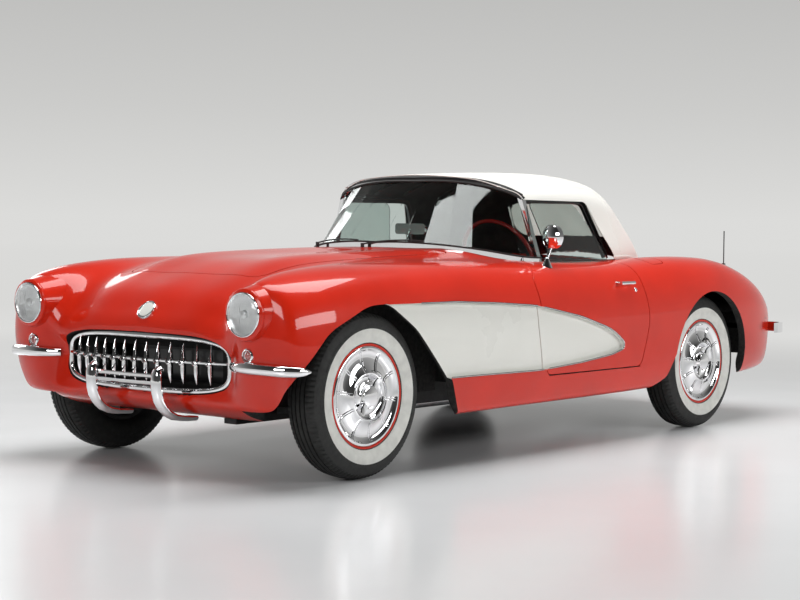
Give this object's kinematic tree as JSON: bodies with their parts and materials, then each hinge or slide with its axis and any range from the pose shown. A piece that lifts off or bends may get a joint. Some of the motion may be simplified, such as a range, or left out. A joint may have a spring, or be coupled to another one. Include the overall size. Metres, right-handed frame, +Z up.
{
  "type": "two-seat convertible car of the 1950s",
  "caption": "Open two-seat car with a raised soft top, side coves, toothed grille, wrap-around windshield, opening doors, hood and trunk, steered front wheels.",
  "frame": {"origin": "on the ground, halfway along the car and on its centre plane", "axes": "+X forward, +Y to the car's left, +Z up"},
  "size_m": [4.2307, 1.7862, 1.2894],
  "materials": {
    "body_paint": "gloss",
    "cloth_top": "matte",
    "chrome_trim": "polished",
    "black_paint": "satin",
    "clear_glass": "gloss",
    "clear_vinyl": "gloss",
    "tyre_rubber": "matte",
    "wheel_steel": "polished",
    "seat_vinyl": "satin",
    "dash_paint": "satin",
    "chassis_steel": "satin",
    "engine_iron": "satin",
    "lamp_glass": "gloss",
    "red_lens": "gloss",
    "wheel_rim": "gloss"
  },
  "bodies": {
    "body": {"front_body": "body_paint", "rear_body": "body_paint", "sills": "body_paint", "deck_lid": "body_paint", "soft_top": "cloth_top", "rear_window": "clear_vinyl", "windshield_frame": "black_paint", "windshield_glass": "clear_glass", "grille_surround": "chrome_trim", "grille_teeth": "chrome_trim", "front_bumper": "chrome_trim", "rear_bumper": "chrome_trim", "front_lamps": "lamp_glass", "tail_lamps": "red_lens", "underbody": "black_paint", "chassis_frame": "chassis_steel", "wishbones": "chassis_steel", "inner_mirror": "chrome_trim", "wipers": "chrome_trim", "aerial": "chrome_trim", "rear_axle": "chassis_steel", "leaf_springs": "chassis_steel", "exhaust": "chassis_steel", "engine": "engine_iron", "radiator": "black_paint", "dashboard": "dash_paint", "seat_left": "seat_vinyl", "seat_right": "seat_vinyl", "steering_column": "dash_paint"},
    "hood": {"hood": "body_paint"},
    "trunk_lid": {"trunk_lid": "body_paint"},
    "fuel_door": {"fuel_door": "body_paint"},
    "door_left": {"door_left": "body_paint", "door_glass_left": "clear_glass", "door_handle_left": "chrome_trim", "door_mirror": "chrome_trim"},
    "door_right": {"door_right": "body_paint", "door_glass_right": "clear_glass", "door_handle_right": "chrome_trim"},
    "knuckle_left": {"knuckle_left": "chassis_steel"},
    "knuckle_right": {"knuckle_right": "chassis_steel"},
    "steering_wheel": {"steering_wheel": "wheel_rim"},
    "wheel_front_left": {"tyre_front_left": "tyre_rubber", "wheel_front_left": "wheel_steel"},
    "wheel_front_right": {"tyre_front_right": "tyre_rubber", "wheel_front_right": "wheel_steel"},
    "wheel_rear_left": {"tyre_rear_left": "tyre_rubber", "wheel_rear_left": "wheel_steel"},
    "wheel_rear_right": {"tyre_rear_right": "tyre_rubber", "wheel_rear_right": "wheel_steel"}
  },
  "joints": [
    {"name": "hood_hinge", "type": "hinge", "parent": "body", "child": "hood", "pos_m": [1.6795, 0, 0.822], "axis": [0, 1, 0], "range_deg": [0, 50]},
    {"name": "trunk_hinge", "type": "hinge", "parent": "body", "child": "trunk_lid", "pos_m": [-1.2585, 0, 0.827], "axis": [0, 1, 0], "range_deg": [0, 60]},
    {"name": "fuel_door_hinge", "type": "hinge", "parent": "body", "child": "fuel_door", "pos_m": [-0.6725, 0.741, 0.854], "axis": [0, 0.9713, -0.2378], "range_deg": [0, 95]},
    {"name": "door_left_hinge", "type": "hinge", "parent": "body", "child": "door_left", "pos_m": [0.3435, 0.858, 0.56], "axis": [0, 0, -1], "range_deg": [0, 65]},
    {"name": "door_right_hinge", "type": "hinge", "parent": "body", "child": "door_right", "pos_m": [0.3435, -0.858, 0.56], "axis": [0, 0, 1], "range_deg": [0, 65]},
    {"name": "steer_left", "type": "hinge", "parent": "body", "child": "knuckle_left", "pos_m": [1.4835, 0.63, 0.338], "axis": [0, 0, 1], "range_deg": [-28, 28]},
    {"name": "steer_right", "type": "hinge", "parent": "body", "child": "knuckle_right", "pos_m": [1.4835, -0.63, 0.338], "axis": [0, 0, 1], "range_deg": [-28, 28]},
    {"name": "steering_wheel_turn", "type": "hinge", "parent": "body", "child": "steering_wheel", "pos_m": [-0.0085, 0.345, 0.862], "axis": [-0.9135, 0, 0.4067], "range_deg": [-448, 448]},
    {"name": "roll_front_left", "type": "hinge", "parent": "knuckle_left", "child": "wheel_front_left", "pos_m": [1.4835, 0.724, 0.338], "axis": [0, 1, 0], "continuous": true},
    {"name": "roll_front_right", "type": "hinge", "parent": "knuckle_right", "child": "wheel_front_right", "pos_m": [1.4835, -0.724, 0.338], "axis": [0, 1, 0], "continuous": true},
    {"name": "roll_rear_left", "type": "hinge", "parent": "body", "child": "wheel_rear_left", "pos_m": [-1.1075, 0.7495, 0.338], "axis": [0, 1, 0], "continuous": true},
    {"name": "roll_rear_right", "type": "hinge", "parent": "body", "child": "wheel_rear_right", "pos_m": [-1.1075, -0.7495, 0.338], "axis": [0, 1, 0], "continuous": true}
  ],
  "couplings": [
    {"joint": "steer_right", "follows": "steer_left", "ratio": 1},
    {"joint": "steering_wheel_turn", "follows": "steer_left", "ratio": 16}
  ]
}
